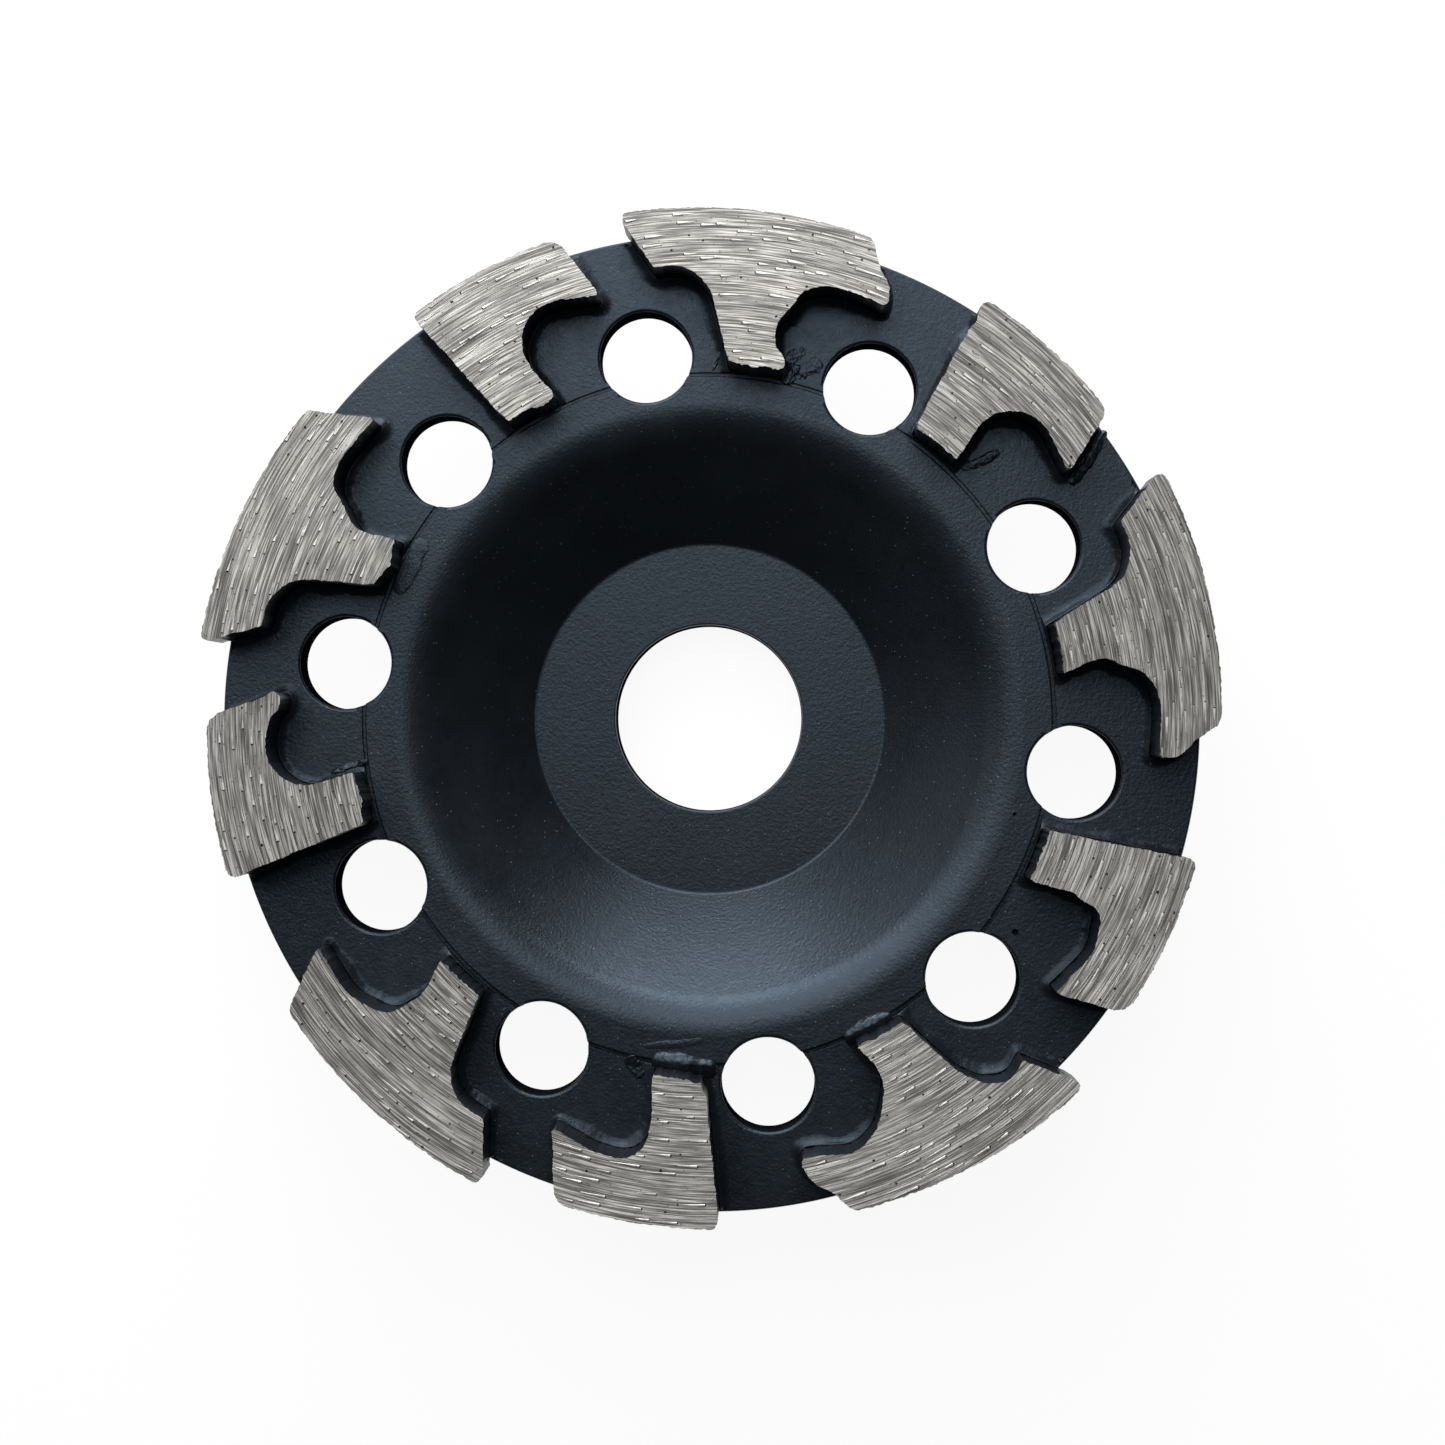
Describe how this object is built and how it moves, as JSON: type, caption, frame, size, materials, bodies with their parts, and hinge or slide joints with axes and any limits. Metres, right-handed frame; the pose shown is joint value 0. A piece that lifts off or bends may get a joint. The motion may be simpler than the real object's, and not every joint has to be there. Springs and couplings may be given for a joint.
{
  "type": "diamond cup wheel",
  "caption": "Steel cup wheel with T and L shaped diamond segments brazed round its face and a ring of dust holes, for grinding concrete with an angle grinder.",
  "frame": {"origin": "on the wheel's axis at the back face of the hub", "axes": "+Z along the bore axis, towards the working side with the segments; seen from there +Y is up and +X is right, and the middle of the first T segment is about 6 degrees clockwise from +Y"},
  "size_m": [0.1148, 0.1148, 0.0253],
  "materials": {
    "body_paint": "satin blue-black paint with a fine orange-peel texture",
    "segment_metal": "ground metal bond with diamond grit on top, black paint on the flanks",
    "braze": "satin blue-black paint over brazing alloy"
  },
  "bodies": {
    "root": {"cup_body": "body_paint", "t_segment_1": "segment_metal", "t_segment_2": "segment_metal", "t_segment_3": "segment_metal", "t_segment_4": "segment_metal", "t_segment_5": "segment_metal", "l_segment_1": "segment_metal", "l_segment_2": "segment_metal", "l_segment_3": "segment_metal", "l_segment_4": "segment_metal", "l_segment_5": "segment_metal", "braze_joint_1": "braze", "braze_joint_2": "braze", "braze_joint_3": "braze", "braze_joint_4": "braze", "braze_joint_5": "braze", "braze_joint_6": "braze", "braze_joint_7": "braze", "braze_joint_8": "braze", "braze_joint_9": "braze", "braze_joint_10": "braze"}
  },
  "joints": []
}
